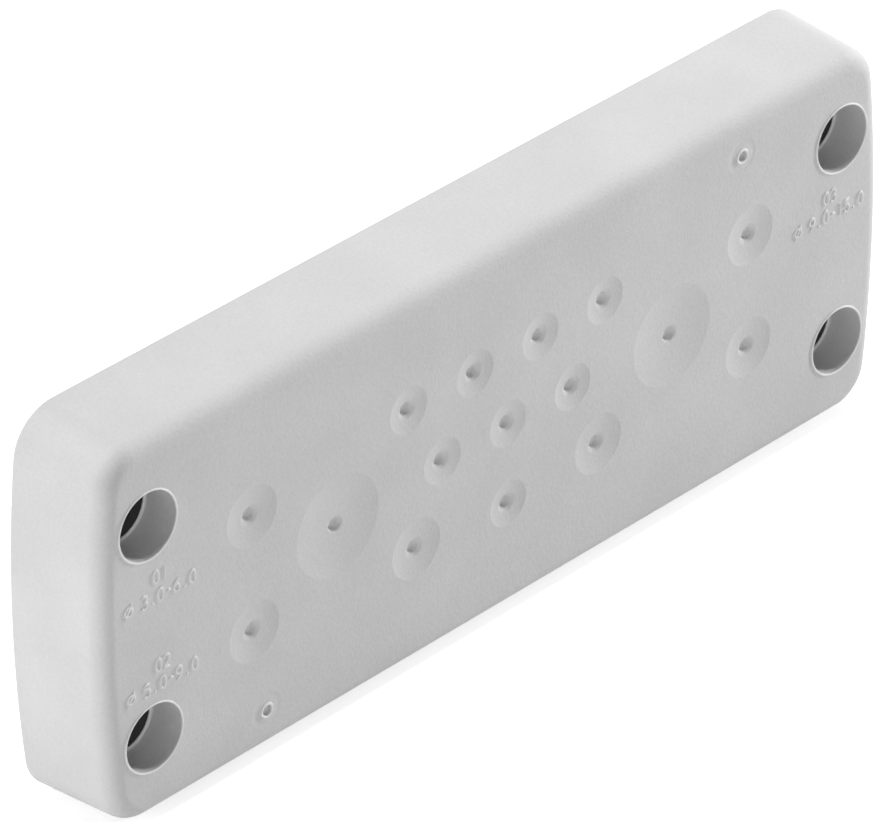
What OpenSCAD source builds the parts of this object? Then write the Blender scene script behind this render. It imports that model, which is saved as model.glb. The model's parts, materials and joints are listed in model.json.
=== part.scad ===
// Cable entry plate: a soft grey sealing body moulded over a rigid black core frame.
// Sixteen closed membranes take cables of three sizes, and four screws hold the plate to a wall.
// The plate stands upright: X runs along it, Z is up, the front faces -Y.
// The origin is the centre of the screw pattern on the rear face, which lies on the wall.

/* [Plate] */
// Length of the plate past the screw centres at each end, at mid height
end_margin = 9.6; // [9.5:0.1:14]
// Height of the plate past the screw centres above and below
side_margin = 13; // [9:0.1:18]
// Thickness from the wall to the front face
plate_t = 15.3; // [13:0.1:20]
// Radius of the upright corners at the rear edge
corner_r = 7; // [5.5:0.1:10]
// Radius of the outward bow of the two short ends
end_bow_r = 205; // [120:5:600]
// Rounding between the front face and the sides
front_fillet = 2.8; // [1:0.1:2.9]
// Slope of the sides, narrowing to the front, in degrees
draft = 4; // [0.5:0.1:5]

/* [Screws] */
// Distance between the screw centres along the plate
screw_span_x = 130; // [122:1:150]
// Distance between the screw centres up the plate
screw_span_z = 32; // [28:0.5:40]
// Diameter of the screw's through hole in the core
screw_hole_d = 5.5; // [4.3:0.1:6.6]
// Diameter of the counterbore for the screw head
counterbore_d = 9.8; // [8.5:0.1:10]
// Depth of the screw head's seat below the front face
seat_depth = 5.5; // [4:0.1:7.5]
// Width of the soft lip around the seat
seat_lip_w = 0.4; // [0.2:0.05:0.8]
// Height of the soft lip above the seat
seat_lip_h = 0.25; // [0.2:0.05:1]
// Width of the raised lip around the counterbore's mouth
mouth_lip_w = 0.25; // [0.15:0.05:0.3]
// Height of that lip above the front face
mouth_lip_h = 0.2; // [0.1:0.05:0.3]
// Chamfer inside the mouth
mouth_chamfer = 0.1; // [0.05:0.05:0.2]

/* [Small membranes] */
// Diameter of the small dimples
small_dimple_d = 6.8; // [5:0.1:8]
// Depth of the small dimples
small_dimple_depth = 0.45; // [0.2:0.05:0.8]
// Diameter of the small cable wells
small_well_d = 6.8; // [5.8:0.1:8]
// Distance between neighbouring small membranes in a row
small_pitch = 12.3; // [10.5:0.1:13]
// Height of the upper row of small membranes
small_upper_z = 11.4; // [10:0.1:13]
// Height of the middle row of small membranes
small_middle_z = 0.8; // [-1:0.1:1]
// Height of the single lower small membrane
small_lower_z = -11.6; // [-13:0.1:-10]

/* [Medium membranes] */
// Diameter of the medium dimples
medium_dimple_d = 8.9; // [7:0.1:10.5]
// Depth of the medium dimples
medium_dimple_depth = 0.5; // [0.2:0.05:0.8]
// Diameter of the medium cable wells
medium_well_d = 9.6; // [8.6:0.1:10.5]
// Distance of the lower medium membranes from the middle of the plate
medium_lower_x = 17.3; // [14:0.1:19]
// Height of the lower medium membranes
medium_lower_z = -10.4; // [-13:0.1:-9]
// Distance of the side medium membranes from the middle of the plate
medium_side_x = 46.9; // [45:0.1:49]
// Height of the side medium membranes above and below the middle
medium_side_z = 8.8; // [7.5:0.1:11]

/* [Large membranes] */
// Diameter of the large dimples
large_dimple_d = 14.9; // [13:0.1:16.5]
// Depth of the large dimples
large_dimple_depth = 0.55; // [0.2:0.05:0.8]
// Diameter of the large cable wells
large_well_d = 15.6; // [14.6:0.1:16.4]
// Distance of the large membranes from the middle of the plate
large_x = 31.6; // [30.5:0.1:32.5]

/* [Membrane section] */
// Thickness from the front face to the end of a well
membrane_t = 2.6; // [2:0.1:4]
// Diameter of the centring pit at its mouth
pit_d = 2.4; // [1.5:0.1:3]
// Diameter of the centring pit at its floor
pit_floor_d = 1.5; // [0.8:0.1:2]
// Depth of the centring pit below its dimple
pit_depth = 0.9; // [0.4:0.05:1.1]
// Lead-in chamfer around each well at the rear
well_chamfer = 0.6; // [0.2:0.1:1]

/* [Core frame] */
// Thickness of the core's web
web_t = 3; // [2:0.1:4]
// Soft cover between the wall and the core's web
web_cover = 3; // [2:0.1:4]
// Distance of the web's edge from the plate's edge at mid length
web_inset = 4.5; // [4:0.1:7]
// Radius of the web's corners
web_corner_r = 5; // [2:0.5:8]
// Wall of the screw bosses around the counterbore
boss_wall = 1.2; // [0.8:0.1:2]
// Soft wall between each cable well and the core
well_wall = 1.5; // [1:0.1:1.6]

/* [Rear seal] */
// Length of the wall cut-out that the seal goes round
cutout_w = 112; // [108:1:114]
// Height of the wall cut-out
cutout_h = 36; // [34:1:44]
// Distance of the bead's centre line outside the cut-out
bead_margin = 1.4; // [1.1:0.1:1.5]
// Corner radius of the bead's centre line
bead_corner_r = 5; // [3:0.5:9]
// Radius of the bead's round section
bead_r = 1; // [0.8:0.1:1.2]
// Height of the bead above the rear face
bead_h = 0.4; // [0.2:0.05:0.6]

/* [Gate marks] */
// Distance of each gate mark from the middle of the plate
gate_x = 45; // [38:0.1:48]
// Height of each gate mark above or below the middle
gate_z = 21.9; // [20:0.1:23]
// Diameter of the shallow dish around a gate mark
gate_dish_d = 5; // [3.5:0.1:6]
// Depth of that dish
gate_dish_depth = 0.05; // [0.05:0.05:0.4]
// Outer diameter of the raised ring
gate_ring_d = 2.3; // [1.8:0.1:3]
// Diameter of the hole in the ring
gate_hole_d = 1.5; // [0.8:0.1:1.6]
// Depth of the hole below the front face
gate_hole_depth = 0.6; // [0.3:0.1:1.5]
// Height of the ring above the front face
gate_ring_h = 0.2; // [0.1:0.05:0.4]

/* [Hidden] */
$fn = 96;

// Overreach of cutting tools past the face that they open
over = 1;

body_colour = [0.74, 0.74, 0.74];
core_colour = [0.05, 0.05, 0.055];

plate_w = screw_span_x + 2 * end_margin;
plate_h = screw_span_z + 2 * side_margin;

// Arc centres of the plan: one far centre for each bowed end, one for each corner
bow_centre_x = plate_w / 2 - end_bow_r;
corner_z = plate_h / 2 - corner_r;
bow_inner_r = end_bow_r - corner_r;
corner_x = bow_centre_x + sqrt(bow_inner_r * bow_inner_r - corner_z * corner_z);
bow_half_angle = atan2(corner_z, corner_x - bow_centre_x);

// Section of the rim, measured outwards from the corner centres and upwards from the rear
fillet_z = plate_t - front_fillet;
fillet_x = corner_r - fillet_z * tan(draft) - front_fillet / cos(draft);
side_tangent = [fillet_x + front_fillet * cos(draft), fillet_z + front_fillet * sin(draft)];
// The rim starts inside the flat front, and the slab reaches past that start but not to the rounding
rim_inner_x = fillet_x / 2;
slab_r = fillet_x * 3 / 4;

seat_z = plate_t - seat_depth;
boss_d = counterbore_d + 2 * boss_wall;
web_w = plate_w - 2 * web_inset;
web_h = plate_h - 2 * web_inset;
well_depth = plate_t - membrane_t;

function both_sides(x, z) = [[-x, z], [x, z]];

screw_spots = concat(
    both_sides(screw_span_x / 2, screw_span_z / 2),
    both_sides(screw_span_x / 2, -screw_span_z / 2));
gate_spots = [[gate_x, gate_z], [-gate_x, -gate_z]];
small_spots = concat(
    both_sides(small_pitch / 2, small_upper_z),
    both_sides(small_pitch * 3 / 2, small_upper_z),
    both_sides(small_pitch, small_middle_z),
    [[0, small_middle_z], [0, small_lower_z]]);
medium_spots = concat(
    both_sides(medium_lower_x, medium_lower_z),
    both_sides(medium_side_x, medium_side_z),
    both_sides(medium_side_x, -medium_side_z));
large_spots = both_sides(large_x, 0);

// Each membrane is its spot, dimple diameter, dimple depth and well diameter
membranes = concat(
    [for (s = small_spots) [s, small_dimple_d, small_dimple_depth, small_well_d]],
    [for (s = medium_spots) [s, medium_dimple_d, medium_dimple_depth, medium_well_d]],
    [for (s = large_spots) [s, large_dimple_d, large_dimple_depth, large_well_d]]);

// Modules below lie flat: plan in XY, rear face at zero, front face up. This stands them up.
module upright() {
    rotate([90, 0, 0]) children();
}

module at_spots(spots) {
    for (s = spots) translate([s[0], s[1], 0]) children();
}

module four_ways() {
    for (i = [0, 1], j = [0, 1]) mirror([i, 0, 0]) mirror([0, j, 0]) children();
}

// Section through the rim: part of the flat front, the rounding and the drafted side
module rim_section() {
    polygon([[rim_inner_x, 0], [corner_r, 0], side_tangent,
        [fillet_x, fillet_z], [fillet_x, plate_t], [rim_inner_x, plate_t]]);
    translate([fillet_x, fillet_z]) intersection() {
        circle(front_fillet);
        polygon([[0, 0], [2 * front_fillet * cos(draft), 2 * front_fillet * sin(draft)],
            [2 * front_fillet, 2 * front_fillet], [0, 2 * front_fillet]]);
    }
}

// Half of the space beside a plane through the origin, as a block that holds the whole corner
module half_space(turn) {
    rotate([0, 0, turn]) translate([-plate_h, 0, -over]) cube([2 * plate_h, plate_h, plate_t + 2 * over]);
}

// Rim of one rounded corner, centred on its axis, from the straight side to the bowed end
module corner() {
    intersection() {
        rotate_extrude() rim_section();
        half_space(-90);
        half_space(bow_half_angle);
    }
}

// Rim of the upper half of a bowed end, in the corner's place, down to mid height.
// The sweep about the far centre runs past the planes that cut it.
module half_end() {
    intersection() {
        rotate([0, 0, bow_half_angle]) translate([-bow_inner_r, 0, 0])
            rotate_extrude(angle = -3 * bow_half_angle, start = bow_half_angle, $fn = 720)
                translate([bow_inner_r, 0]) {
                    rim_section();
                    translate([-corner_r, 0]) square([corner_r + slab_r, plate_t]);
                }
        half_space(-90);
        half_space(bow_half_angle - 180);
        translate([0, -corner_z, 0]) half_space(0);
    }
}

// Plan of the slab inside the rim
module slab_plan() {
    square([2 * (corner_x + slab_r), 2 * corner_z], center = true);
    square([2 * corner_x, 2 * (corner_z + slab_r)], center = true);
    four_ways() translate([corner_x, corner_z]) circle(slab_r);
}

// Outer form of the plate: a slab in a rim of two straight sides, four corners and two bowed ends
module plate_form() {
    linear_extrude(plate_t) slab_plan();
    for (side = [0, 1]) mirror([0, side, 0])
        translate([-corner_x, corner_z, 0]) rotate([90, 0, 90])
            linear_extrude(2 * corner_x) rim_section();
    four_ways() translate([corner_x, corner_z, 0]) {
        corner();
        half_end();
    }
}

// Shallow round dish with a tapered centring pit
module dimple(d, depth) {
    ball_r = (d * d / 4 + depth * depth) / (2 * depth);
    translate([0, 0, plate_t + ball_r - depth]) sphere(ball_r);
    pit_flare = (pit_d - pit_floor_d) / 2 * depth / pit_depth;
    translate([0, 0, plate_t - depth - pit_depth])
        cylinder(h = pit_depth + depth, d1 = pit_floor_d, d2 = pit_d + 2 * pit_flare);
}

// Round well from the rear, with a chamfered mouth, ending at the membrane
module well(d) {
    translate([0, 0, -over]) cylinder(h = well_depth + over, d = d);
    translate([0, 0, -over])
        cylinder(h = well_chamfer + over, d1 = d + 2 * (well_chamfer + over), d2 = d);
}

// Raised lip around a counterbore's mouth, rooted in the plate
module mouth_lip() {
    translate([0, 0, plate_t - over])
        cylinder(h = over + mouth_lip_h, d = counterbore_d + 2 * mouth_lip_w);
}

// Counterbore with a chamfered mouth and a lip around the seat, reaching into the core
module counterbore() {
    lip_d = counterbore_d - 2 * seat_lip_w;
    mouth_z = plate_t + mouth_lip_h;
    mouth_h = mouth_chamfer + over;
    translate([0, 0, seat_z - over]) cylinder(h = seat_depth + 2 * over, d = lip_d);
    translate([0, 0, seat_z + seat_lip_h]) cylinder(h = seat_depth + over, d = counterbore_d);
    translate([0, 0, mouth_z - mouth_chamfer])
        cylinder(h = mouth_h, d1 = counterbore_d, d2 = counterbore_d + 2 * mouth_h);
}

// Raised ring of a gate mark, rooted in the plate
module gate_ring() {
    translate([0, 0, plate_t - gate_dish_depth - over])
        cylinder(h = over + gate_dish_depth + gate_ring_h, d = gate_ring_d);
}

module gate_dish() {
    translate([0, 0, plate_t - gate_dish_depth]) cylinder(h = gate_dish_depth + over, d = gate_dish_d);
}

module gate_hole() {
    translate([0, 0, plate_t - gate_hole_depth]) cylinder(h = gate_hole_depth + over, d = gate_hole_d);
}

// Sealing bead around the cut-out on the rear face
module seal_bead() {
    half_w = cutout_w / 2 + bead_margin;
    half_h = cutout_h / 2 + bead_margin;
    turn_x = half_w - bead_corner_r;
    turn_z = half_h - bead_corner_r;
    translate([0, 0, bead_r - bead_h]) {
        for (side = [-1, 1]) {
            translate([-turn_x, side * half_h, 0]) rotate([0, 90, 0]) cylinder(h = 2 * turn_x, r = bead_r);
            translate([side * half_w, turn_z, 0]) rotate([90, 0, 0]) cylinder(h = 2 * turn_z, r = bead_r);
        }
        four_ways() translate([turn_x, turn_z, 0])
            rotate_extrude(angle = 90) translate([bead_corner_r, 0]) circle(bead_r);
    }
}

module web_plan() {
    square([web_w, web_h - 2 * web_corner_r], center = true);
    square([web_w - 2 * web_corner_r, web_h], center = true);
    four_ways() translate([web_w / 2 - web_corner_r, web_h / 2 - web_corner_r]) circle(web_corner_r);
}

// Solid of the core before its screw holes are drilled: a web and four bosses
module core_blank() {
    translate([0, 0, web_cover]) linear_extrude(web_t) difference() {
        web_plan();
        for (m = membranes) translate(m[0]) circle(d = m[3] + 2 * well_wall);
    }
    at_spots(screw_spots) cylinder(h = seat_z, d = boss_d);
}

// Plate with its rear bead, the lips of the counterbores and the gate marks' rings in their dishes
module body_blank() {
    difference() {
        plate_form();
        at_spots(gate_spots) gate_dish();
    }
    at_spots(gate_spots) gate_ring();
    at_spots(screw_spots) mouth_lip();
    seal_bead();
}

module sealing_body() {
    color(body_colour) upright() difference() {
        body_blank();
        core_blank();
        at_spots(screw_spots) counterbore();
        at_spots(gate_spots) gate_hole();
        for (m = membranes) translate(m[0]) {
            well(m[3]);
            dimple(m[1], m[2]);
        }
    }
}

module core_frame() {
    color(core_colour) upright() difference() {
        core_blank();
        at_spots(screw_spots) translate([0, 0, -over]) cylinder(h = seat_z + 2 * over, d = screw_hole_d);
    }
}

sealing_body();
core_frame();
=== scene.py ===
"""Cable entry plate: a soft grey body moulded over a black core, standing in a plain studio."""

import json
import logging
import math
from collections.abc import Callable, Iterable, Sequence
from dataclasses import dataclass, field
from enum import Enum

import bmesh
import bpy
from mathutils import Matrix, Vector
from mathutils.geometry import delaunay_2d_cdt


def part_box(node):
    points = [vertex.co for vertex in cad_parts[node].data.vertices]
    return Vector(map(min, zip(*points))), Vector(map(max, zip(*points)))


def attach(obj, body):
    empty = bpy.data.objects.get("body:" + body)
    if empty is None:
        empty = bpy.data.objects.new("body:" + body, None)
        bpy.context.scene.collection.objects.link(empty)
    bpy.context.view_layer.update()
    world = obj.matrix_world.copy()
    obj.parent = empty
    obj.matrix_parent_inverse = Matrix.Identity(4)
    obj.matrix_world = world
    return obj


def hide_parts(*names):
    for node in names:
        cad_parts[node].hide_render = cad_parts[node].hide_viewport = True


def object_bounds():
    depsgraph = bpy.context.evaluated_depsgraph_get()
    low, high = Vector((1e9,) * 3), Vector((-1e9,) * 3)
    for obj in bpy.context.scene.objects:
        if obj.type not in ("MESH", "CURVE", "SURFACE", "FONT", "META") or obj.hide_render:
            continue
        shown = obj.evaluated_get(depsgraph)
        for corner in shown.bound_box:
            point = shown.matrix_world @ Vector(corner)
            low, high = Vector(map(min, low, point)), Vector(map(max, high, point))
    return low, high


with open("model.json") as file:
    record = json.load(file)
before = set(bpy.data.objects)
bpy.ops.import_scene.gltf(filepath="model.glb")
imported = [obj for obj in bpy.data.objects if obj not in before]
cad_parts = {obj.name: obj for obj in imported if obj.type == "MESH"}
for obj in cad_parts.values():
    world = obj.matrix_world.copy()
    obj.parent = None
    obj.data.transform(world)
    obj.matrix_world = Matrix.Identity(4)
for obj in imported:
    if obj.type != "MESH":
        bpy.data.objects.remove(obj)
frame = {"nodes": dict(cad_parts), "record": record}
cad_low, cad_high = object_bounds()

log = logging.getLogger("cable_entry_plate")

# One millimetre in metres, the body that carries every piece and the mesh attribute that paints a paler
# highlight on rims
MM = 0.001
CARRIER = "root"
PAINTED_HIGHLIGHT = "painted_highlight_tone"

# Distances in millimetres within which points are welded or merged
WELD_GAP = 1e-4
MERGE_GAP = 1e-5

# Fewest chords of a curved stroke, and the degrees that each chord turns
STROKE_CHORDS = 6
STROKE_TURN = 15

# A hole is its spot, radius and row, and a bore has a second row at its seat
# A profile's rows are radius, height above the rear face and share of painted highlight
Point = tuple[float, float]
Row = list[int]
Hole = tuple[Point, float, Row]
Bore = tuple[Point, float, Row, Row]
Profile = list[tuple[float, float, float]]


# Plan geometry, in millimetres: across and up the plate

def arc(centre: Point, radius: float, start: float, stop: float, steps: int) -> list[Point]:
    """Gives points along an arc in the plan, with both its ends.

    Args:
        centre: Centre of the arc.
        radius: Radius of the arc.
        start: First angle in degrees, from the plate's right.
        stop: Last angle in degrees.
        steps: Number of chords.

    Returns:
        The points in order.
    """
    turns = [math.radians(start + (stop - start) * i / steps) for i in range(steps + 1)]
    return [(centre[0] + radius * math.cos(a), centre[1] + radius * math.sin(a)) for a in turns]


def circle(centre: Point, radius: float, steps: int) -> list[Point]:
    """Gives the points of a full circle, without a repeated end."""
    return arc(centre, radius, 0, 360, steps)[:-1]


def both_sides(across: float, up: float) -> tuple[Point, Point]:
    """Gives a spot and its mirror image in the plate's upright centre line."""
    return (-across, up), (across, up)


def rounded_oblong(half_w: float, half_h: float, corner_r: float, steps: int) -> list[Point]:
    """Gives the outline of an oblong with round corners.

    Args:
        half_w: Half of the width.
        half_h: Half of the height.
        corner_r: Radius of the corners.
        steps: Chords in each corner.

    Returns:
        The closed outline, without a repeated end.
    """
    turn_x = half_w - corner_r
    turn_z = half_h - corner_r
    points: list[Point] = []
    for quarter, (sx, sz) in enumerate(((1, 1), (-1, 1), (-1, -1), (1, -1))):
        start = 90 * quarter
        points += arc((sx * turn_x, sz * turn_z), corner_r, start, start + 90, steps)
    return points


def oblong_gap(spot: Point, half_w: float, half_h: float, corner_r: float) -> float:
    """Measures how far a spot lies outside an oblong with round corners.

    Args:
        spot: The spot in the plan.
        half_w: Half of the oblong's width.
        half_h: Half of its height.
        corner_r: Radius of its corners.

    Returns:
        The distance, below zero inside the oblong.
    """
    over_x = abs(spot[0]) - half_w + corner_r
    over_z = abs(spot[1]) - half_h + corner_r
    outside = math.hypot(max(over_x, 0.0), max(over_z, 0.0))
    return outside + min(max(over_x, over_z), 0.0) - corner_r


def lattice(half_w: float, half_h: float, pitch: float, fits: Callable[[Point], bool]) -> list[Point]:
    """Spreads points over a flat region in staggered lines.

    Args:
        half_w: Half of the region's width.
        half_h: Half of its height.
        pitch: Distance between the points.
        fits: Says whether a point may stand at a spot.

    Returns:
        The points that fit.
    """
    lines = math.floor(half_h / pitch)
    count = math.floor(half_w / pitch)
    spots = [
        ((i + 0.5 * (j % 2)) * pitch, j * pitch)
        for j in range(-lines, lines + 1)
        for i in range(-count, count + 1)
    ]
    return [spot for spot in spots if fits(spot)]


def softened(value: float, softness: float) -> float:
    """Rounds the corner of a slope that starts at zero.

    Args:
        value: Height of the sharp slope, below zero before its corner.
        softness: Height on each side of the corner within which it is rounded.

    Returns:
        The value above the corner, zero below it and a smooth curve between.
    """
    if abs(value) >= softness:
        return max(value, 0.0)
    return (value + softness) ** 2 / (4 * softness)


def graded(marks: Iterable[float], steps: Sequence[float], pitch: float) -> list[float]:
    """Spaces radii closely around the places where a profile turns.

    Args:
        marks: Radii where the profile turns.
        steps: Distances from each mark that get a radius of their own.
        pitch: Widest space between two radii elsewhere.

    Returns:
        The radii from the largest to the smallest.
    """
    near = {round(m + s * side, 4) for m in marks for s in steps for side in (-1, 1)}
    kept = sorted(r for r in near if r > 0)
    filled: list[float] = []
    for low, high in zip(kept, kept[1:]):
        parts = max(1, math.ceil((high - low) / pitch))
        filled += [low + (high - low) * i / parts for i in range(parts)]
    return [*filled, kept[-1]][::-1]


class Moulding:
    """Collects the rows and faces of one closed mesh, in millimetres from the plate's rear face."""

    def __init__(self) -> None:
        """Starts with no points."""
        self.points: list[tuple[float, float, float]] = []
        # Share of painted highlight at each point
        self.tones: list[float] = []
        self.faces: list[tuple[int, ...]] = []

    def row(self, plan: Sequence[Point], height: float, tone: float = 0.0) -> Row:
        """Adds a closed row of points.

        Args:
            plan: The row's points in the plan.
            height: Height above the rear face, towards the front.
            tone: How much painted highlight the row has.

        Returns:
            The numbers of the new points.
        """
        first = len(self.points)
        self.points += [(x, -height, z) for x, z in plan]
        self.tones += [tone] * len(plan)
        return list(range(first, len(self.points)))

    def band(self, low: Row, high: Row, keep: Callable[[int], bool] = lambda i: True) -> None:
        """Joins two rows of the same length with quads.

        Args:
            low: The first row.
            high: The second row.
            keep: Says for the number of a chord whether it gets a quad.
        """
        count = len(low)
        for i in range(count):
            j = (i + 1) % count
            if keep(i):
                self.faces.append((low[i], low[j], high[j], high[i]))

    def cap(self, row: Row) -> None:
        """Closes a row with one flat face."""
        self.faces.append(tuple(row))

    def revolve(self, centre: Point, profile: Profile, steps: int, closed: bool) -> tuple[Row, Row]:
        """Turns a profile about an axis from the rear to the front.

        Args:
            centre: Place of the axis in the plan.
            profile: Radius, height and share of painted highlight of each row.
            steps: Chords around the axis.
            closed: Whether the last row is closed with a flat face.

        Returns:
            The first and the last row.
        """
        rows = [self.row(circle(centre, r, steps), h, tone) for r, h, tone in profile]
        for low, high in zip(rows, rows[1:]):
            self.band(low, high)
        if closed:
            self.cap(rows[-1])
        return rows[0], rows[-1]

    def fill(
        self, rows: Sequence[Row], keep: Callable[[Point], bool], inner: Sequence[Point] = ()
    ) -> None:
        """Fills the flat region between rows that lie at one height.

        Args:
            rows: The rows that bound the region and its holes.
            keep: Says whether there is material at a spot of the plan.
            inner: Loose points in the region, which keep its triangles from growing thin.
        """
        height = -self.points[rows[0][0]][1]
        numbers = [i for row in rows for i in row] + self.row(inner, height)
        plan = [Vector((self.points[i][0], self.points[i][2])) for i in numbers]
        edges: list[tuple[int, int]] = []
        first = 0
        for row in rows:
            count = len(row)
            edges += [(first + i, first + (i + 1) % count) for i in range(count)]
            first += count
        found, _, triangles, sources, _, _ = delaunay_2d_cdt(plan, edges, [], 0, MERGE_GAP)
        for corners in triangles:
            middle = sum((found[i] for i in corners), Vector((0.0, 0.0))) / len(corners)
            if keep((middle.x, middle.y)):
                self.faces.append(tuple(numbers[sources[i][0]] for i in corners))

    def holds(self, row: Row, spot: Point) -> bool:
        """Says whether a spot of the plan lies inside a row.

        Args:
            row: The closed row.
            spot: The spot.

        Returns:
            True where a line to the right of the spot crosses the row an odd number of times.
        """
        inside = False
        for a, b in zip(row, row[1:] + row[:1]):
            ax, _, az = self.points[a]
            bx, _, bz = self.points[b]
            if (az > spot[1]) != (bz > spot[1]):
                crossing = ax + (spot[1] - az) / (bz - az) * (bx - ax)
                inside ^= crossing > spot[0]
        return inside

    def clear_of(self, spot: Point, holes: Sequence[Hole], margin: float = 0.0) -> bool:
        """Says whether a spot lies outside every round hole.

        Args:
            spot: The spot in the plan.
            holes: Centre, radius and row of each hole.
            margin: Distance to keep from the holes.

        Returns:
            True where there is material.
        """
        for centre, radius, row in holes:
            gap = math.dist(spot, centre) - radius
            if gap < margin and (margin or self.holds(row, spot)):
                return False
        return True

    def finished(self, name: str, sharp_angle: float) -> bpy.types.Object:
        """Makes the object: welded, facing outwards and smooth up to an angle.

        Args:
            name: Name of the object.
            sharp_angle: Angle in degrees above which an edge stays sharp.

        Returns:
            The new object, linked to the scene.
        """
        mesh = bpy.data.meshes.new(name)
        mesh.from_pydata([[c * MM for c in p] for p in self.points], [], self.faces)
        # Writes each point's share of painted highlight into the mesh attribute
        tone = mesh.attributes.new(PAINTED_HIGHLIGHT, "FLOAT", "POINT")
        tone.data.foreach_set("value", self.tones)
        work = bmesh.new()
        work.from_mesh(mesh)
        bmesh.ops.remove_doubles(work, verts=work.verts, dist=WELD_GAP * MM)
        bmesh.ops.recalc_face_normals(work, faces=work.faces)
        work.to_mesh(mesh)
        work.free()
        mesh.shade_smooth()
        mesh.set_sharp_from_angle(angle=math.radians(sharp_angle))
        made = bpy.data.objects.new(name, mesh)
        bpy.context.scene.collection.objects.link(made)
        made.modifiers.new("even_flats", "WEIGHTED_NORMAL").keep_sharp = True
        return made


# Finishes

@dataclass(frozen=True)
class ElastomerFinish:
    """Matt light-grey moulded elastomer with a fine grain, and a paler colour painted on rims as a
    highlight.
    """

    name: str = "moulded_elastomer"
    tone: float = 0.66
    tone_spread: float = 0.02
    # Colour of the painted highlight on rims and marks
    painted_highlight_tone: float = 0.9
    roughness: tuple[float, float] = (0.72, 0.84)
    cloud_size: float = 16.0
    cloud_detail: float = 4.0
    cloud_span: tuple[float, float] = (0.35, 0.65)
    grain_size: float = 0.42
    grain_detail: float = 2.0
    grain_depth: float = 0.045
    grain_shade: tuple[float, float] = (0.93, 1.07)
    ripple_size: float = 5.0
    ripple_detail: float = 2.0
    ripple_depth: float = 0.012

    def material(self) -> bpy.types.Material:
        """Builds the node material.

        Returns:
            The new material.
        """
        made = NodeMaterial(self.name)
        spots = made.node("ShaderNodeTexCoord").outputs["Object"]
        clouds = made.noise(spots, self.cloud_size, self.cloud_detail)
        grain = made.noise(spots, self.grain_size, self.grain_detail)
        ripple = made.noise(spots, self.ripple_size, self.ripple_detail)
        tones = (self.tone - self.tone_spread, self.tone + self.tone_spread)
        base = made.between(clouds, self.cloud_span, tones)
        base = made.shaded(base, made.ranged(grain, self.grain_shade))
        # Mixes in the paler colour where the mesh attribute asks for it: a painted highlight on rims and
        # marks
        edge = made.node("ShaderNodeAttribute")
        edge.attribute_name = PAINTED_HIGHLIGHT
        made.link(made.mixed(edge.outputs["Fac"], base, grey(self.painted_highlight_tone)), "Base Color")
        made.link(made.ranged(grain, self.roughness), "Roughness")
        bumped = made.bump(ripple, self.ripple_depth, None)
        made.link(made.bump(grain, self.grain_depth, bumped), "Normal")
        return made.material


@dataclass(frozen=True)
class CorePlasticFinish:
    """Black glass-filled plastic: nearly matt, with a faint mottle of fibres."""

    name: str = "black_core_plastic"
    tone: float = 0.006
    fibre_tone: float = 0.016
    roughness: tuple[float, float] = (0.55, 0.75)
    fibre_size: float = 0.5
    fibre_detail: float = 5.0
    fibre_span: tuple[float, float] = (0.4, 0.75)
    grain_depth: float = 0.01

    def material(self) -> bpy.types.Material:
        """Builds the node material.

        Returns:
            The new material.
        """
        made = NodeMaterial(self.name)
        spots = made.node("ShaderNodeTexCoord").outputs["Object"]
        fibres = made.noise(spots, self.fibre_size, self.fibre_detail)
        tones = (self.tone, self.fibre_tone)
        made.link(made.between(fibres, self.fibre_span, tones), "Base Color")
        made.link(made.ranged(fibres, self.roughness), "Roughness")
        made.link(made.bump(fibres, self.grain_depth, None), "Normal")
        return made.material


@dataclass(frozen=True)
class FloorFinish:
    """Pale studio floor that reads as white to the camera and still takes a shadow."""

    name: str = "studio_floor"
    tone: float = 0.8
    lift: float = 0.62
    roughness: float = 1.0
    gloss: float = 0.0

    def material(self) -> bpy.types.Material:
        """Builds the node material.

        Returns:
            The new material.
        """
        made = NodeMaterial(self.name)
        made.shader.inputs["Base Color"].default_value = grey(self.tone)
        made.shader.inputs["Roughness"].default_value = self.roughness
        made.shader.inputs["Specular IOR Level"].default_value = self.gloss
        made.shader.inputs["Emission Color"].default_value = grey(self.lift)
        made.link(seen_directly(made.tree), "Emission Strength")
        return made.material


def grey(tone: float) -> tuple[float, float, float, float]:
    """Gives a neutral colour of one tone."""
    return (tone, tone, tone, 1.0)


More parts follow.
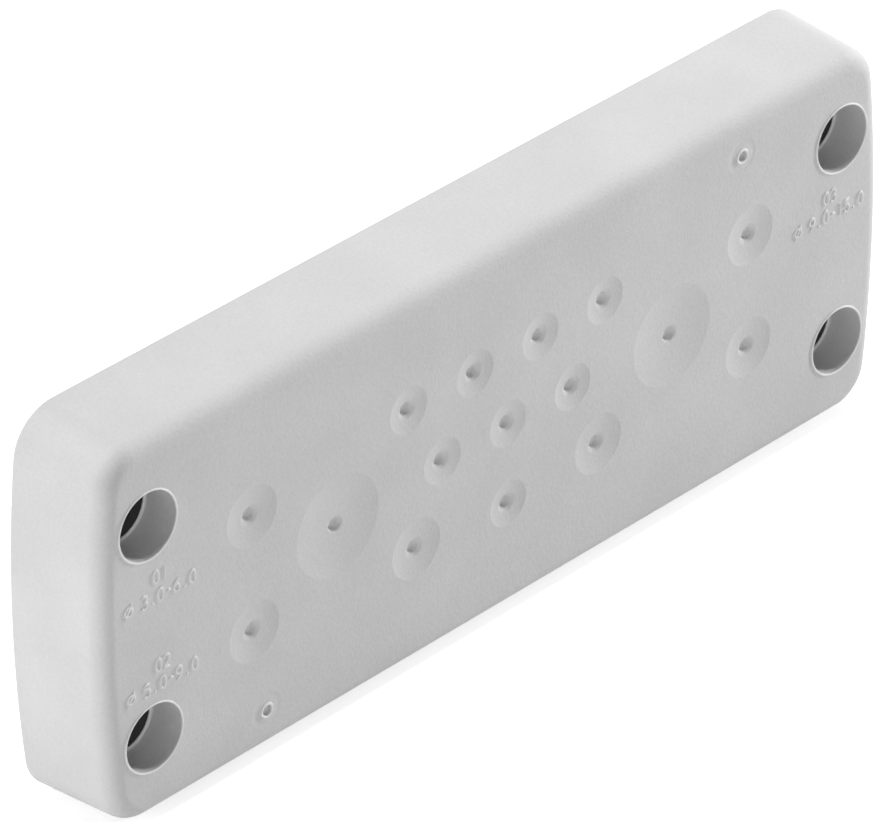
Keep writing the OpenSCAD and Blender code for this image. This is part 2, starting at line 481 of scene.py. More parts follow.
class NodeMaterial:
    """A material with one main shader, and short ways to feed its sockets."""

    def __init__(self, name: str) -> None:
        """Makes the material and finds its main shader.

        Args:
            name: Name of the material.
        """
        self.material = bpy.data.materials.new(name)
        self.material.use_nodes = True
        self.tree = self.material.node_tree
        self.shader = self.tree.nodes["Principled BSDF"]

    def node(self, kind: str) -> bpy.types.Node:
        """Adds a node."""
        return self.tree.nodes.new(kind)

    def link(self, output: bpy.types.NodeSocket, socket: str) -> None:
        """Joins an output to a socket of the main shader."""
        self.tree.links.new(output, self.shader.inputs[socket])

    def noise(self, spots: bpy.types.NodeSocket, size: float, detail: float) -> bpy.types.NodeSocket:
        """Adds noise with features of a real size.

        Args:
            spots: Output that gives the place on the object.
            size: Size of the features in millimetres.
            detail: How many finer layers are added.

        Returns:
            The noise, from 0 to 1.
        """
        made = self.node("ShaderNodeTexNoise")
        made.inputs["Scale"].default_value = 1 / (size * MM)
        made.inputs["Detail"].default_value = detail
        self.tree.links.new(spots, made.inputs["Vector"])
        return made.outputs["Fac"]

    def between(
        self, value: bpy.types.NodeSocket, span: tuple[float, float], tones: tuple[float, float]
    ) -> bpy.types.NodeSocket:
        """Turns a value into a grey between two tones.

        Args:
            value: Output that gives the value.
            span: Values at which the first and the second tone are reached.
            tones: The two tones.

        Returns:
            The colour.
        """
        made = self.node("ShaderNodeValToRGB")
        for stop, place, tone in zip(made.color_ramp.elements, span, tones):
            stop.position = place
            stop.color = grey(tone)
        self.tree.links.new(value, made.inputs["Fac"])
        return made.outputs["Color"]

    def mixed(
        self, share: bpy.types.NodeSocket, base: bpy.types.NodeSocket, other: Sequence[float]
    ) -> bpy.types.NodeSocket:
        """Mixes a fixed colour into another.

        Args:
            share: Output that gives the share of the fixed colour.
            base: Output that gives the other colour.
            other: The fixed colour.

        Returns:
            The mixed colour.
        """
        made = self.node("ShaderNodeMix")
        made.data_type = "RGBA"
        self.tree.links.new(share, made.inputs["Factor"])
        self.tree.links.new(base, made.inputs["A"])
        made.inputs["B"].default_value = other
        return made.outputs["Result"]

    def shaded(self, colour: bpy.types.NodeSocket, factor: bpy.types.NodeSocket) -> bpy.types.NodeSocket:
        """Makes a colour darker or paler.

        Args:
            colour: Output that gives the colour.
            factor: Output that gives the factor.

        Returns:
            The new colour.
        """
        made = self.node("ShaderNodeVectorMath")
        made.operation = "SCALE"
        self.tree.links.new(colour, made.inputs[0])
        self.tree.links.new(factor, made.inputs["Scale"])
        return made.outputs["Vector"]

    def ranged(self, value: bpy.types.NodeSocket, span: tuple[float, float]) -> bpy.types.NodeSocket:
        """Maps noise to a range of numbers.

        Args:
            value: Output that gives the noise, from 0 to 1.
            span: Lowest and highest number.

        Returns:
            The number.
        """
        made = self.node("ShaderNodeMapRange")
        made.inputs["To Min"].default_value, made.inputs["To Max"].default_value = span
        self.tree.links.new(value, made.inputs["Value"])
        return made.outputs["Result"]

    def bump(
        self, height: bpy.types.NodeSocket, depth: float, before: bpy.types.NodeSocket | None
    ) -> bpy.types.NodeSocket:
        """Adds relief of a real depth.

        Args:
            height: Output that gives the relief.
            depth: Depth of the relief in millimetres.
            before: Relief that this one lies on.

        Returns:
            The surface direction.
        """
        made = self.node("ShaderNodeBump")
        made.inputs["Distance"].default_value = depth * MM
        self.tree.links.new(height, made.inputs["Height"])
        if before is not None:
            self.tree.links.new(before, made.inputs["Normal"])
        return made.outputs["Normal"]


def seen_directly(tree: bpy.types.NodeTree) -> bpy.types.NodeSocket:
    """Adds the switch that lifts the background for camera, glossy and transmission rays.

    Args:
        tree: The node tree of a material or the world.

    Returns:
        The switch, 0 or 1.
    """
    path = tree.nodes.new("ShaderNodeLightPath")
    total = path.outputs["Is Camera Ray"]
    for ray in ("Is Glossy Ray", "Is Transmission Ray"):
        joined = tree.nodes.new("ShaderNodeMath")
        joined.operation = "MAXIMUM"
        tree.links.new(total, joined.inputs[0])
        tree.links.new(path.outputs[ray], joined.inputs[1])
        total = joined.outputs["Value"]
    return total


# The sealing body

class CableSize(Enum):
    """Sizes of cable that the membranes take."""

    SMALL = "small"
    MEDIUM = "medium"
    LARGE = "large"


@dataclass(frozen=True)
class Membrane:
    """One size of membrane: the dimple in front, the well behind and the spots that have it."""

    dimple_d: float
    dimple_depth: float
    lead_w: float
    well_d: float
    steps: int
    spots: tuple[Point, ...]


SMALL_PITCH = 12.3
MEMBRANES = {
    CableSize.SMALL: Membrane(
        dimple_d=6.8, dimple_depth=0.45, lead_w=0.45, well_d=6.8, steps=72,
        spots=(
            *both_sides(SMALL_PITCH / 2, 11.4), *both_sides(SMALL_PITCH * 3 / 2, 11.4),
            *both_sides(SMALL_PITCH, 0.8), (0.0, 0.8), (0.0, -11.6),
        ),
    ),
    CableSize.MEDIUM: Membrane(
        dimple_d=8.9, dimple_depth=0.5, lead_w=0.45, well_d=9.6, steps=88,
        spots=(*both_sides(17.3, -10.4), *both_sides(46.9, 8.8), *both_sides(46.9, -8.8)),
    ),
    CableSize.LARGE: Membrane(
        dimple_d=14.9, dimple_depth=0.55, lead_w=0.15, well_d=15.6, steps=120,
        spots=both_sides(31.6, 0.0),
    ),
}


def screw_spots() -> list[Point]:
    """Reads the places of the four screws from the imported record.

    Returns:
        The spots in the plan.
    """
    mount = next(m for m in frame["record"]["mounts"] if m["kind"] == "bolt_pattern")
    half_x = mount["dims"]["spacing_x_mm"] / 2
    half_z = mount["dims"]["spacing_y_mm"] / 2
    return [*both_sides(half_x, half_z), *both_sides(half_x, -half_z)]


@dataclass
class SealingBody:
    """The grey moulding: outer form, membranes, counterbores, gate marks, rear seal and core cavity."""

    finish: ElastomerFinish
    plate_t: float = 15.3
    corner_r: float = 7.0
    end_bow_r: float = 205.0
    front_fillet: float = 2.8
    rear_edge_r: float = 0.25
    rear_edge_steps: int = 5
    draft: float = 4.0
    corner_steps: int = 28
    bow_steps: int = 24
    side_steps: int = 40
    fillet_steps: int = 14
    counterbore_d: float = 9.8
    seat_depth: float = 5.5
    seat_lip_w: float = 0.4
    seat_lip_h: float = 0.25
    seat_lip_r: float = 0.08
    seat_lip_steps: int = 3
    # Share of painted highlight at the seat lip's inner edge
    seat_painted_highlight: float = 0.3
    mouth_lip_w: float = 0.25
    mouth_lip_foot: float = 0.05
    mouth_lip_steps: int = 8
    # Shares of painted highlight on the mouth lip's crest and on its foot
    lip_painted_highlight: float = 1.0
    lip_foot_painted_highlight: float = 0.2
    bore_steps: int = 96
    dimple_margin: float = 0.5
    dimple_pitch: float = 0.45
    dimple_grades: tuple[float, ...] = (0.0, 0.03, 0.06, 0.1, 0.16, 0.25)
    pit_d: float = 2.4
    pit_floor_d: float = 1.5
    pit_depth: float = 0.9
    pit_softness: float = 0.12
    lead_slope: float = 0.6
    rim_softness: float = 0.02
    membrane_t: float = 2.6
    well_chamfer: float = 0.6
    well_floor_r: float = 0.3
    well_floor_steps: int = 4
    gate_spots: tuple[Point, ...] = ((45.0, 21.9), (-45.0, -21.9))
    gate_dish_d: float = 5.0
    gate_dish_depth: float = 0.05
    gate_step_d: float = 3.5
    gate_ring_d: float = 2.3
    gate_hole_d: float = 1.5
    gate_hole_depth: float = 0.6
    gate_ease: float = 0.12
    gate_steps: int = 48
    cutout: Point = (112.0, 36.0)
    bead_margin: float = 1.4
    bead_corner_r: float = 5.0
    bead_corner_steps: int = 16
    bead_r: float = 1.0
    bead_steps: int = 10
    web_t: float = 3.0
    web_cover: float = 3.0
    web_inset: float = 4.5
    web_corner_r: float = 5.0
    web_corner_steps: int = 8
    boss_wall: float = 1.2
    boss_steps: int = 64
    boss_end_steps: int = 20
    well_wall: float = 1.5
    sleeve_steps: int = 48
    lattice_pitch: float = 2.4
    lattice_margin: float = 0.8
    sharp_angle: float = 40.0
    form: Moulding = field(default_factory=Moulding)

    def __post_init__(self) -> None:
        """Takes the overall size from the frame and works out what several methods share."""
        low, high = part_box("sealing_body")
        self.half_w = high.x / MM
        self.half_h = high.z / MM
        self.bead_h = high.y / MM
        self.raised_z = -low.y / MM
        self.bow_centre_x = self.half_w - self.end_bow_r
        self.bow_inner_r = self.end_bow_r - self.corner_r
        self.corner_z = self.half_h - self.corner_r
        self.corner_x = self.bow_centre_x + math.sqrt(self.bow_inner_r**2 - self.corner_z**2)
        self.bow_angle = math.degrees(math.atan2(self.corner_z, self.corner_x - self.bow_centre_x))
        self.seat_z = self.plate_t - self.seat_depth
        self.boss_r = self.counterbore_d / 2 + self.boss_wall
        self.bead_half_w = self.cutout[0] / 2 + self.bead_margin
        self.bead_half_h = self.cutout[1] / 2 + self.bead_margin
        self.bead_sunk = self.bead_r - self.bead_h
        self.web_half_w = self.half_w - self.web_inset
        self.web_half_h = self.half_h - self.web_inset
        self.web_levels = (self.web_cover, self.web_cover + self.web_t)

    def outline(self, offset: float) -> list[Point]:
        """Gives the plan's outline at a distance from the corner centres.

        Args:
            offset: Distance outwards from the corner centres.

        Returns:
            The closed outline, from the foot of the lower right corner upwards and round to the left.
        """
        right: list[Point] = []
        right += arc((self.corner_x, -self.corner_z), offset, -90, -self.bow_angle, self.corner_steps)
        bow_r = self.bow_inner_r + offset
        right += arc((self.bow_centre_x, 0), bow_r, -self.bow_angle, self.bow_angle, self.bow_steps)[1:-1]
        right += arc((self.corner_x, self.corner_z), offset, self.bow_angle, 90, self.corner_steps)
        span = [1 - 2 * i / self.side_steps for i in range(1, self.side_steps)]
        top = [(self.corner_x * s, self.corner_z + offset) for s in span]
        half = right + top
        return half + [(-x, -z) for x, z in half]

    def rim_profile(self) -> Profile:
        """Gives the rim's section: rear edge, drafted side and front rounding.

        Returns:
            Offset from the corner centres, height and share of painted highlight of each row, from the rear
            to the front.
        """
        lean = math.radians(self.draft)
        rear_x = self.corner_r - self.rear_edge_r * (math.tan(lean) + 1 / math.cos(lean))
        fillet_z = self.plate_t - self.front_fillet
        fillet_x = self.corner_r - fillet_z * math.tan(lean) - self.front_fillet / math.cos(lean)
        rear = arc((rear_x, self.rear_edge_r), self.rear_edge_r, -90, self.draft, self.rear_edge_steps)
        front = arc((fillet_x, fillet_z), self.front_fillet, self.draft, 90, self.fillet_steps)
        return [(x, z, 0.0) for x, z in rear + front]

    def rim(self) -> tuple[Row, Row]:
        """Builds the sides and the front rounding.

        Returns:
            The rows at the rear face and at the front face.
        """
        rows = [self.form.row(self.outline(x), z, tone) for x, z, tone in self.rim_profile()]
        for low, high in zip(rows, rows[1:]):
            self.form.band(low, high)
        return rows[0], rows[-1]

    def dimple_profile(self, membrane: Membrane) -> Profile:
        """Gives a dimple's section: soft rim, shallow dish, centring pit with a sloping lead-in.

        Args:
            membrane: The size of membrane.

        Returns:
            Radius, height and share of painted highlight of each row, from the outside in.
        """
        dish_r = membrane.dimple_d / 2
        pit_r = self.pit_d / 2
        floor_r = self.pit_floor_d / 2
        slope = self.pit_depth / (pit_r - floor_r)
        lead_r = pit_r + membrane.lead_w / 2
        wall_r = pit_r - membrane.lead_w / 2
        radii = graded((dish_r, lead_r, wall_r, floor_r), self.dimple_grades, self.dimple_pitch)
        profile: Profile = [(dish_r + self.dimple_margin, self.plate_t, 0.0)]
        for r in radii:
            share = 1 - (r / dish_r) ** 2
            dish = softened(membrane.dimple_depth * share, self.rim_softness)
            lead = softened(self.lead_slope * (lead_r - r), self.pit_softness)
            wall = softened((slope - self.lead_slope) * (wall_r - r), self.pit_softness)
            pit = self.pit_depth - softened(self.pit_depth - lead - wall, self.pit_softness)
            profile.append((r, self.plate_t - dish - pit, 0.0))
        return profile

    def dimples(self) -> list[Hole]:
        """Builds all dimples.

        Returns:
            The spot, the outer radius and the outer row of each.
        """
        made = []
        for membrane in MEMBRANES.values():
            profile = self.dimple_profile(membrane)
            for spot in membrane.spots:
                outer, _ = self.form.revolve(spot, profile, membrane.steps, closed=True)
                made.append((spot, profile[0][0], outer))
        return made

    def counterbores(self) -> list[Bore]:
        """Builds the four screw-head bores, each with a raised lip at its mouth and a lip round its seat,
        their crests painted paler as a highlight.

        Returns:
            The spot, the outer lip's radius and row, and the seat lip's lower row of each.
        """
        bore_r = self.counterbore_d / 2
        seat_r = bore_r - self.seat_lip_w
        ledge_z = self.seat_z + self.seat_lip_h
        crest_r = self.mouth_lip_w / 2
        lip_r = bore_r + self.mouth_lip_w
        foot_r = lip_r + self.mouth_lip_foot
        turn_r = self.seat_lip_r
        crest = arc((bore_r + crest_r, self.raised_z - crest_r), crest_r, 0, 180, self.mouth_lip_steps)
        ledge = arc((seat_r + turn_r, ledge_z - turn_r), turn_r, 90, 180, self.seat_lip_steps)
        # The crests of the mouth lip and the seat lip carry a painted highlight
        profile: Profile = [
            (foot_r, self.plate_t, 0.0),
            (lip_r, self.plate_t + self.mouth_lip_foot, self.lip_foot_painted_highlight),
            *((r, z, self.lip_painted_highlight) for r, z in crest),
            (bore_r, self.plate_t - self.mouth_lip_foot, 0.0),
            (bore_r, ledge_z + turn_r, 0.0),
            (bore_r, ledge_z, 0.0),
            (ledge[0][0] + turn_r, ledge_z, 0.0),
            *((r, z, self.lip_painted_highlight) for r, z in ledge),
            (seat_r, self.seat_z, self.seat_painted_highlight),
        ]
        made = []
        for spot in screw_spots():
            top, bottom = self.form.revolve(spot, profile, self.bore_steps, closed=False)
            made.append((spot, foot_r, top, bottom))
        return made

    def gate_marks(self) -> list[Hole]:
        """Builds the two gate marks: a ring with a hole, standing in a shallow stepped dish.

        Returns:
            The spot, the outer radius and the outer row of each.
        """
        dish_r = self.gate_dish_d / 2
        step_r = self.gate_step_d / 2
        ring_r = self.gate_ring_d / 2
        hole_r = self.gate_hole_d / 2
        top = self.raised_z
        dish = self.plate_t - self.gate_dish_depth
        step = self.plate_t - self.gate_dish_depth / 4
        floor = self.plate_t - self.gate_hole_depth
        ease = self.gate_ease
        # The ring's crest and the hole's edge carry a painted highlight
        profile: Profile = [
            (dish_r + 2 * ease, self.plate_t, 0.0),
            (dish_r + ease, self.plate_t, 0.0),
            (dish_r - ease, dish, 0.0),
            (step_r + ease, dish, 0.0),
            (step_r - ease, step, 0.0),
            (ring_r + ease / 2, step, 0.0),
            (ring_r, step + ease / 2, 0.2),
            (ring_r - ease / 2, top - ease / 2, 0.8),
            (ring_r - ease, top, 1.0),
            (hole_r + ease, top, 1.0),
            (hole_r + ease / 3, top - ease / 2, 0.6),
            (hole_r, self.plate_t, 0.0),
            (hole_r, floor + ease, 0.0),
            (hole_r - ease, floor, 0.0),
        ]
        made = []
        for spot in self.gate_spots:
            outer, _ = self.form.revolve(spot, profile, self.gate_steps, closed=True)
            made.append((spot, profile[0][0], outer))
        return made

    def front_face(self, edge: Row, holes: Sequence[Hole]) -> None:
        """Fills the flat front between the rim and the holes.

        Args:
            edge: The rim's row at the front face.
            holes: Spot, radius and outer row of each feature in the face.
        """
        half_w = self.corner_x + self.corner_r / 2
        half_h = self.corner_z + self.corner_r / 2

        def roomy(spot: Point) -> bool:
            """Says whether a spot lies well inside the flat face."""
            inside = oblong_gap(spot, half_w, half_h, self.corner_r / 2) < -self.lattice_margin
            return inside and self.form.clear_of(spot, holes, self.lattice_margin)

        inner = lattice(half_w, half_h, self.lattice_pitch, roomy)
        self.form.fill([edge, *(row for _, _, row in holes)], lambda p: self.form.clear_of(p, holes), inner)

    def wells(self) -> list[Hole]:
        """Builds the cable wells behind the membranes.

        Returns:
            The spot, the mouth's radius and the mouth's row of each.
        """
        made = []
        depth = self.plate_t - self.membrane_t
        for membrane in MEMBRANES.values():
            well_r = membrane.well_d / 2
            turn_r = self.well_floor_r
            turn = arc((well_r - turn_r, depth - turn_r), turn_r, 0, 90, self.well_floor_steps)
            profile: Profile = [(well_r + self.well_chamfer, 0.0, 0.0), (well_r, self.well_chamfer, 0.0)]
            profile += [(r, z, 0.0) for r, z in turn]
            for spot in membrane.spots:
                mouth, _ = self.form.revolve(spot, profile, membrane.steps, closed=True)
                made.append((spot, profile[0][0], mouth))
        return made

    def bead(self) -> tuple[Row, Row]:
        """Builds the sealing bead that runs round the cut-out on the rear face.

        Returns:
            The bead's inner and outer row on the rear face.
        """
        reach = math.degrees(math.acos(self.bead_sunk / self.bead_r))
        section = arc((0, self.bead_sunk), self.bead_r, 270 - reach, 270 + reach, self.bead_steps)
        rows = []
        for out, z in section:
            half_w = self.bead_half_w + out
            half_h = self.bead_half_h + out
            plan = rounded_oblong(half_w, half_h, self.bead_corner_r + out, self.bead_corner_steps)
            rows.append(self.form.row(plan, z))
        for low, high in zip(rows, rows[1:]):
            self.form.band(low, high)
        return rows[0], rows[-1]

    def rear_face(self, edge: Row, bead: tuple[Row, Row], holes: Sequence[Hole]) -> None:
        """Fills the flat rear between the rim, the bead and the holes.

        Args:
            edge: The rim's row at the rear face.
            bead: The bead's inner and outer row.
            holes: Spot, radius and row of each hole in the face.
        """
        foot = math.sqrt(self.bead_r**2 - self.bead_sunk**2)

        def bead_gap(spot: Point) -> float:
            """Measures how far a spot lies from the bead's middle line."""
            return abs(oblong_gap(spot, self.bead_half_w, self.bead_half_h, self.bead_corner_r))

        def solid(spot: Point) -> bool:
            """Says whether a spot of the rear face is flat material."""
            return bead_gap(spot) >= foot and self.form.clear_of(spot, holes)

        def roomy(spot: Point) -> bool:
            """Says whether a spot lies well inside the flat rear.

            Args:
                spot: The spot in the plan.

            Returns:
                True where a loose point may stand.
            """
            inside = oblong_gap(spot, self.corner_x, self.half_h, self.corner_r) < -self.lattice_margin
            off_bead = bead_gap(spot) > foot + self.lattice_margin
            return inside and off_bead and self.form.clear_of(spot, holes, self.lattice_margin)

        inner = lattice(self.half_w, self.half_h, self.lattice_pitch, roomy)
        self.form.fill([edge, *bead, *(row for _, _, row in holes)], solid, inner)

    def web_outline(self) -> list[Point]:
        """Gives the core web's outline, with a point where each screw boss crosses its ends.

        Returns:
            The closed outline, without a repeated end.
        """
        half_w = self.web_half_w
        half_h = self.web_half_h
        plan = rounded_oblong(half_w, half_h, self.web_corner_r, self.web_corner_steps)
        crossings = {
            (math.copysign(half_w, x), z + side * self.boss_chord(x))
            for x, z in screw_spots()
            for side in (-1, 1)
        }
        return sorted({*plan, *crossings}, key=lambda p: math.atan2(p[1] / half_h, p[0] / half_w))

    def boss_chord(self, across: float) -> float:
        """Gives half of the length that a screw boss cuts from the web's end."""
        return math.sqrt(self.boss_r**2 - (self.web_half_w - abs(across)) ** 2)

    def boss_spaces(self, bores: Sequence[Bore]) -> list[tuple[Point, list[Row]]]:
        """Builds the walls of the spaces for the screw bosses, up to the counterbores' seats.

        Args:
            bores: What counterbores() gave.

        Returns:
            The spot and the four rows of each, from the rear to the seat.
        """
        made = []
        lip_r = self.counterbore_d / 2 - self.seat_lip_w
        for spot, _, _, lip_row in bores:
            turn = math.degrees(math.acos((self.web_half_w - abs(spot[0])) / self.boss_r))
            first = 0 if spot[0] > 0 else 180
            plan = arc(spot, self.boss_r, first + turn, first + 360 - turn, self.boss_steps)[:-1]
            plan += arc(spot, self.boss_r, first - turn, first + turn, self.boss_end_steps)[:-1]
            rows = [self.form.row(plan, z) for z in (0.0, *self.web_levels, self.seat_z)]
            self.form.band(rows[0], rows[1])
            self.form.band(rows[1], rows[2], lambda i: i >= self.boss_steps)
            self.form.band(rows[2], rows[3])
            seat = (spot, lip_r, lip_row)
            self.form.fill([rows[3], lip_row], lambda p, hole=seat: self.form.clear_of(p, [hole]))
            made.append((spot, rows))
        return made

    def sleeve_spaces(self) -> list[tuple[Point, float, list[Row]]]:
        """Builds the sleeves round the wells where they pass through the web.

        Returns:
            The spot, the radius and the two rows of each, from the rear to the front.
        """
        made = []
        for membrane in MEMBRANES.values():
            sleeve_r = membrane.well_d / 2 + self.well_wall
            for spot in membrane.spots:
                plan = circle(spot, sleeve_r, self.sleeve_steps)
                rows = [self.form.row(plan, z) for z in self.web_levels]
                self.form.band(*rows)
                made.append((spot, sleeve_r, rows))
        return made

    def web_side(self, edge: Row, holes: Sequence[Hole]) -> None:
        """Fills one flat side of the web's space.

        Args:
            edge: The row round the side.
            holes: Spot, radius and row of each boss and sleeve in it.
        """

        def web_gap(spot: Point) -> float:
            """Measures how far a spot lies outside the web."""
            return oblong_gap(spot, self.web_half_w, self.web_half_h, self.web_corner_r)

        def solid(spot: Point) -> bool:
            """Says whether a spot lies on the web."""
            return web_gap(spot) < 0 and self.form.clear_of(spot, holes)

        def roomy(spot: Point) -> bool:
            """Says whether a spot lies well inside the web."""
            inside = web_gap(spot) < -self.lattice_margin
            return inside and self.form.clear_of(spot, holes, self.lattice_margin)

        inner = lattice(self.web_half_w, self.web_half_h, self.lattice_pitch, roomy)
        self.form.fill([edge, *(row for _, _, row in holes)], solid, inner)

    def core_cavity(self, bores: Sequence[Bore]) -> list[Hole]:
        """Builds the space that the core fills: its web, and its bosses up to the counterbores.

        Args:
            bores: What counterbores() gave.

        Returns:
            The spot, the radius and the row of each boss at the rear face.
        """
        bosses = self.boss_spaces(bores)
        sleeves = self.sleeve_spaces()
        plan = self.web_outline()
        edges = [self.form.row(plan, z) for z in self.web_levels]
        middles = [((a[0] + b[0]) / 2, (a[1] + b[1]) / 2) for a, b in zip(plan, plan[1:] + plan[:1])]
        self.form.band(*edges, lambda i: all(math.dist(middles[i], s) > self.boss_r for s, _ in bosses))
        for level, edge in enumerate(edges):
            holes = [(spot, self.boss_r, rows[level + 1]) for spot, rows in bosses]
            holes += [(spot, r, rows[level]) for spot, r, rows in sleeves]
            self.web_side(edge, holes)
        return [(spot, self.boss_r, rows[0]) for spot, rows in bosses]

    def build(self) -> bpy.types.Object:
        """Builds and dresses the moulding, and lets it stand for its CAD node.

        Returns:
            The finished piece.
        """
        rear_edge, front_edge = self.rim()
        bores = self.counterbores()
        fronts = self.dimples() + self.gate_marks() + [(s, r, top) for s, r, top, _ in bores]
        self.front_face(front_edge, fronts)
        bosses = self.core_cavity(bores)
        self.rear_face(rear_edge, self.bead(), self.wells() + bosses)
        piece = self.form.finished("sealing_body_moulding", self.sharp_angle)
        piece.data.materials.append(self.finish.material())
        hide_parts("sealing_body")
        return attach(piece, CARRIER)


# The raised size marks

def stroke_arc(centre: Point, radii: Point, start: float, stop: float) -> list[Point]:
    """Gives points along an elliptic arc of a raised figure.

    Args:
        centre: Centre of the arc, in shares of the figure's height.
        radii: Half of its width and height.
        start: First angle in degrees.
        stop: Last angle in degrees.

    Returns:
        The points in order.
    """
    chords = max(STROKE_CHORDS, round(abs(stop - start) / STROKE_TURN))
    unit = arc((0, 0), 1.0, start, stop, chords)
    return [(centre[0] + radii[0] * x, centre[1] + radii[1] * z) for x, z in unit]


def figure_strokes() -> dict[str, list[list[Point]]]:
    """Gives the single-line strokes of each figure, one unit high.

    Returns:
        For each figure, its strokes as lists of points.
    """
    six = [
        [(0.5, 0.98), *stroke_arc((0.52, 0.32), (0.48, 0.62), 105, 180)],
        stroke_arc((0.3, 0.3), (0.26, 0.3), 0, 360),
    ]
    return {
        "0": [stroke_arc((0.3, 0.5), (0.26, 0.5), 0, 360)],
        "1": [[(0.14, 0.76), (0.36, 1.0), (0.36, 0.0)]],
        "2": [[*stroke_arc((0.3, 0.73), (0.26, 0.27), 165, -35), (0.04, 0.0), (0.58, 0.0)]],
        "3": [[
            *stroke_arc((0.28, 0.77), (0.24, 0.23), 150, -80),
            *stroke_arc((0.28, 0.27), (0.28, 0.27), 80, -150),
        ]],
        "5": [[(0.54, 1.0), (0.12, 1.0), (0.07, 0.52), *stroke_arc((0.28, 0.31), (0.28, 0.31), 135, -150)]],
        "6": six,
        "9": [[(0.6 - x, 1.0 - z) for x, z in stroke] for stroke in six],
        "-": [[(0.1, 0.46), (0.5, 0.46)]],
        ".": [[(0.22, 0.04), (0.38, 0.04)]],
        "o": [stroke_arc((0.3, 0.46), (0.34, 0.34), 0, 360), [(0.0, -0.08), (0.6, 1.0)]],
    }


@dataclass
class SizeMarks:
    """Raised plain numbers by the ends of the plate, one block for each size of membrane, painted paler as
    a highlight.
    """

    finish: bpy.types.Material
    plate_t: float
    height: float = 1.9
    advance: float = 1.4
    half_figure: float = 0.3
    stroke_r: float = 0.2
    stroke_rounding: int = 3
    weld_gap: float = 0.001
    # Share of painted highlight over the whole marks, which makes them paler
    tone: float = 0.5
    sunk: float = 0.01
    line_gap: float = 2.9
    blocks: tuple[tuple[CableSize, Point, tuple[str, str]], ...] = (
        (CableSize.SMALL, (-63.2, 7.9), ("01", "o 3.0-6.0")),
        (CableSize.MEDIUM, (-63.2, -5.4), ("02", "o 5.0-9.0")),
        (CableSize.LARGE, (62.8, 7.9), ("03", "o 9.0-15.0")),
    )

    def build(self) -> list[bpy.types.Object]:
        """Builds one piece for each block of marks.

        Returns:
            The finished pieces.
        """
        figures = figure_strokes()
        made = []
        for size, (across, up), lines in self.blocks:
            curve = bpy.data.curves.new(f"size_mark_{size.value}", "CURVE")
            curve.dimensions = "3D"
            curve.bevel_depth = self.stroke_r * MM
            curve.bevel_resolution = self.stroke_rounding
            curve.use_fill_caps = True
            for row, text in enumerate(lines):
                left = across - (len(text) - 1) * self.advance / 2 - self.half_figure * self.height
                base = up - row * self.line_gap - self.height / 2
                for place, letter in enumerate(text):
                    for stroke in figures.get(letter, []):
                        self.add_stroke(curve, stroke, (left + place * self.advance, base))
            made.append(self.finished(curve))
        return made

    def add_stroke(self, curve: bpy.types.Curve, stroke: Sequence[Point], corner: Point) -> None:
        """Adds one stroke of a figure to a curve.

        Args:
            curve: The curve that holds the block.
            stroke: The stroke's points, in shares of the height.
            corner: Lower left corner of the figure on the plate.
        """
        spline = curve.splines.new("POLY")
        if math.dist(stroke[0], stroke[-1]) < self.stroke_r / self.height:
            stroke = stroke[:-1]
            spline.use_cyclic_u = True
        spline.points.add(len(stroke) - 1)
        level = self.plate_t - self.sunk
        for point, (x, z) in zip(spline.points, stroke):
            place = (corner[0] + x * self.height, -level, corner[1] + z * self.height)
            point.co = (*(c * MM for c in place), 1.0)

    def finished(self, curve: bpy.types.Curve) -> bpy.types.Object:
        """Turns a curve into a mesh piece that rides on the plate.

        Args:
            curve: The curve with its strokes.

        Returns:
            The finished piece.
        """
        drawn = bpy.data.objects.new(curve.name, curve)
        bpy.context.scene.collection.objects.link(drawn)
        graph = bpy.context.evaluated_depsgraph_get()
        mesh = bpy.data.meshes.new_from_object(drawn.evaluated_get(graph))
        name = curve.name
        bpy.data.objects.remove(drawn)
        bpy.data.curves.remove(curve)
        work = bmesh.new()
        work.from_mesh(mesh)
        bmesh.ops.remove_doubles(work, verts=work.verts, dist=self.weld_gap * MM)
        work.to_mesh(mesh)
        work.free()
        mesh.shade_smooth()
        # Paints the whole mark paler as a highlight
        marks_painted_highlight = mesh.attributes.new(PAINTED_HIGHLIGHT, "FLOAT", "POINT")
        marks_painted_highlight.data.foreach_set("value", [self.tone] * len(mesh.vertices))
        mesh.materials.clear()
        mesh.materials.append(self.finish)
        piece = bpy.data.objects.new(name, mesh)
        bpy.context.scene.collection.objects.link(piece)
        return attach(piece, CARRIER)


# The core

@dataclass
class CoreFrame:
    """The black core, whose CAD solid shows in the counterbores and at the rear."""

    finish: CorePlasticFinish

    def dress(self) -> bpy.types.Object:
        """Gives the CAD node its finish.

        Returns:
            The dressed node.
        """
        piece = frame["nodes"]["core_frame"]
        piece.data.materials.clear()
        piece.data.materials.append(self.finish.material())
        return piece


# The studio

class LampRole(Enum):
    """What each lamp does."""

    KEY = "key"
    TOP = "top"
    FILL = "fill"
    SIDE = "side"
    BACK = "back"


@dataclass(frozen=True)
class Lamp:
    """A square soft lamp: its bearing and distance from the plate's middle, its size and its power."""

    role: LampRole
    azimuth: float
    elevation: float
    distance: float
    size: float
    power: float


def bearing(azimuth: float, elevation: float) -> Vector:
    """Gives a direction away from the plate.

    Args:
        azimuth: Angle in degrees round the plate, from its front towards its right.
        elevation: Angle in degrees above the floor.

    Returns:
        The direction, one unit long.
    """
    turn = math.radians(azimuth)
    rise = math.radians(elevation)
    return Vector((math.sin(turn) * math.cos(rise), -math.cos(turn) * math.cos(rise), math.sin(rise)))


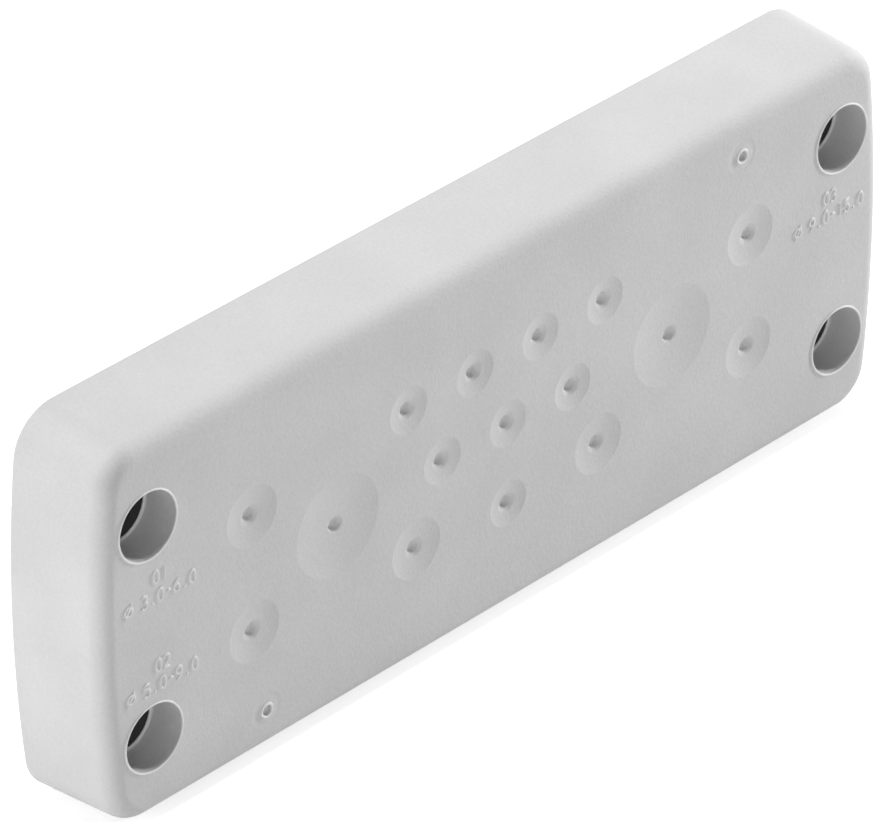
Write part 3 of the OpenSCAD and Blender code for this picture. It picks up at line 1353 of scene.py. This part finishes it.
@dataclass
class Studio:
    """Floor, white surroundings, lamps and the camera at the photograph's angle."""

    floor_finish: FloorFinish
    floor_size: float = 6.0
    world_light: float = 0.12
    lamps: tuple[Lamp, ...] = (
        Lamp(LampRole.KEY, azimuth=74.0, elevation=12.0, distance=0.9, size=0.1, power=4.3),
        Lamp(LampRole.TOP, azimuth=87.0, elevation=62.0, distance=0.9, size=0.2, power=3.1),
        Lamp(LampRole.FILL, azimuth=328.0, elevation=5.0, distance=1.8, size=1.0, power=10.1),
        Lamp(LampRole.SIDE, azimuth=250.0, elevation=10.0, distance=0.9, size=0.35, power=4.1),
        Lamp(LampRole.BACK, azimuth=190.0, elevation=65.0, distance=0.9, size=0.35, power=3.2),
    )
    frame_px: Point = (880.0, 822.0)
    target: tuple[float, float, float] = (0.0, -15.3, 0.0)
    target_px: Point = (508.1, 428.9)
    azimuth: float = -45.865
    elevation: float = 32.64
    roll: float = 0.345
    distance: float = 1014.0
    px_per_mm: float = 7.673
    sensor_mm: float = 36.0
    clip: tuple[float, float] = (0.01, 100.0)

    def build_floor(self) -> bpy.types.Object:
        """Lays the floor under the plate.

        Returns:
            The floor.
        """
        mesh = bpy.data.meshes.new("floor")
        work = bmesh.new()
        bmesh.ops.create_grid(work, x_segments=1, y_segments=1, size=self.floor_size / 2)
        work.to_mesh(mesh)
        work.free()
        mesh.materials.append(self.floor_finish.material())
        floor = bpy.data.objects.new("floor", mesh)
        floor.location.z = cad_low.z
        bpy.context.scene.collection.objects.link(floor)
        return floor

    def build_world(self) -> None:
        """Makes even white surroundings that the camera sees as white."""
        world = bpy.data.worlds.new("studio")
        world.use_nodes = True
        tree = world.node_tree
        background = tree.nodes["Background"]
        background.inputs["Color"].default_value = grey(1.0)
        level = tree.nodes.new("ShaderNodeMapRange")
        level.inputs["To Min"].default_value = self.world_light
        level.inputs["To Max"].default_value = 1.0
        tree.links.new(seen_directly(tree), level.inputs["Value"])
        tree.links.new(level.outputs["Result"], background.inputs["Strength"])
        bpy.context.scene.world = world

    def build_lamps(self) -> None:
        """Places the lamps, each turned to the plate's middle."""
        centre = (cad_low + cad_high) / 2
        for lamp in self.lamps:
            light = bpy.data.lights.new(f"{lamp.role.value}_lamp", "AREA")
            light.size = lamp.size
            light.energy = lamp.power
            holder = bpy.data.objects.new(light.name, light)
            away = bearing(lamp.azimuth, lamp.elevation)
            holder.location = centre + away * lamp.distance
            holder.rotation_euler = (-away).to_track_quat("-Z", "Y").to_euler()
            bpy.context.scene.collection.objects.link(holder)

    def build_camera(self) -> bpy.types.Object:
        """Makes the camera that sees the plate as the photograph does.

        Returns:
            The camera, set as the scene's own.
        """
        away = bearing(self.azimuth, self.elevation)
        level_right = Vector((-away.y, away.x, 0.0)).normalized()
        level_up = away.cross(level_right)
        tilt = math.radians(self.roll)
        right = level_right * math.cos(tilt) - level_up * math.sin(tilt)
        up = level_right * math.sin(tilt) + level_up * math.cos(tilt)
        off_x = (self.target_px[0] - self.frame_px[0] / 2) / self.px_per_mm
        off_z = (self.target_px[1] - self.frame_px[1] / 2) / self.px_per_mm
        place = Vector(self.target) - right * off_x + up * off_z + away * self.distance
        data = bpy.data.cameras.new("photo_camera")
        data.sensor_width = self.sensor_mm
        data.lens = data.sensor_width * self.px_per_mm * self.distance / self.frame_px[0]
        data.clip_start, data.clip_end = self.clip
        camera = bpy.data.objects.new("photo_camera", data)
        turned = Matrix((right, up, away)).transposed().to_4x4()
        camera.matrix_world = Matrix.Translation(place * MM) @ turned
        bpy.context.scene.collection.objects.link(camera)
        bpy.context.scene.camera = camera
        return camera

    def build(self) -> None:
        """Builds the whole studio."""
        bpy.context.scene.view_settings.view_transform = "Standard"
        self.build_floor()
        self.build_world()
        self.build_lamps()
        self.build_camera()


def main() -> None:
    """Builds the plate and the studio, and reports each piece."""
    logging.basicConfig(level=logging.INFO, format="%(name)s: %(message)s")
    Studio(FloorFinish()).build()
    body = SealingBody(ElastomerFinish())
    pieces = [body.build()]
    pieces += SizeMarks(pieces[0].data.materials[0], body.plate_t).build()
    pieces.append(CoreFrame(CorePlasticFinish()).dress())
    for piece in pieces:
        log.info("%s: %d faces", piece.name, len(piece.data.polygons))


if __name__ == "__main__":
    main()
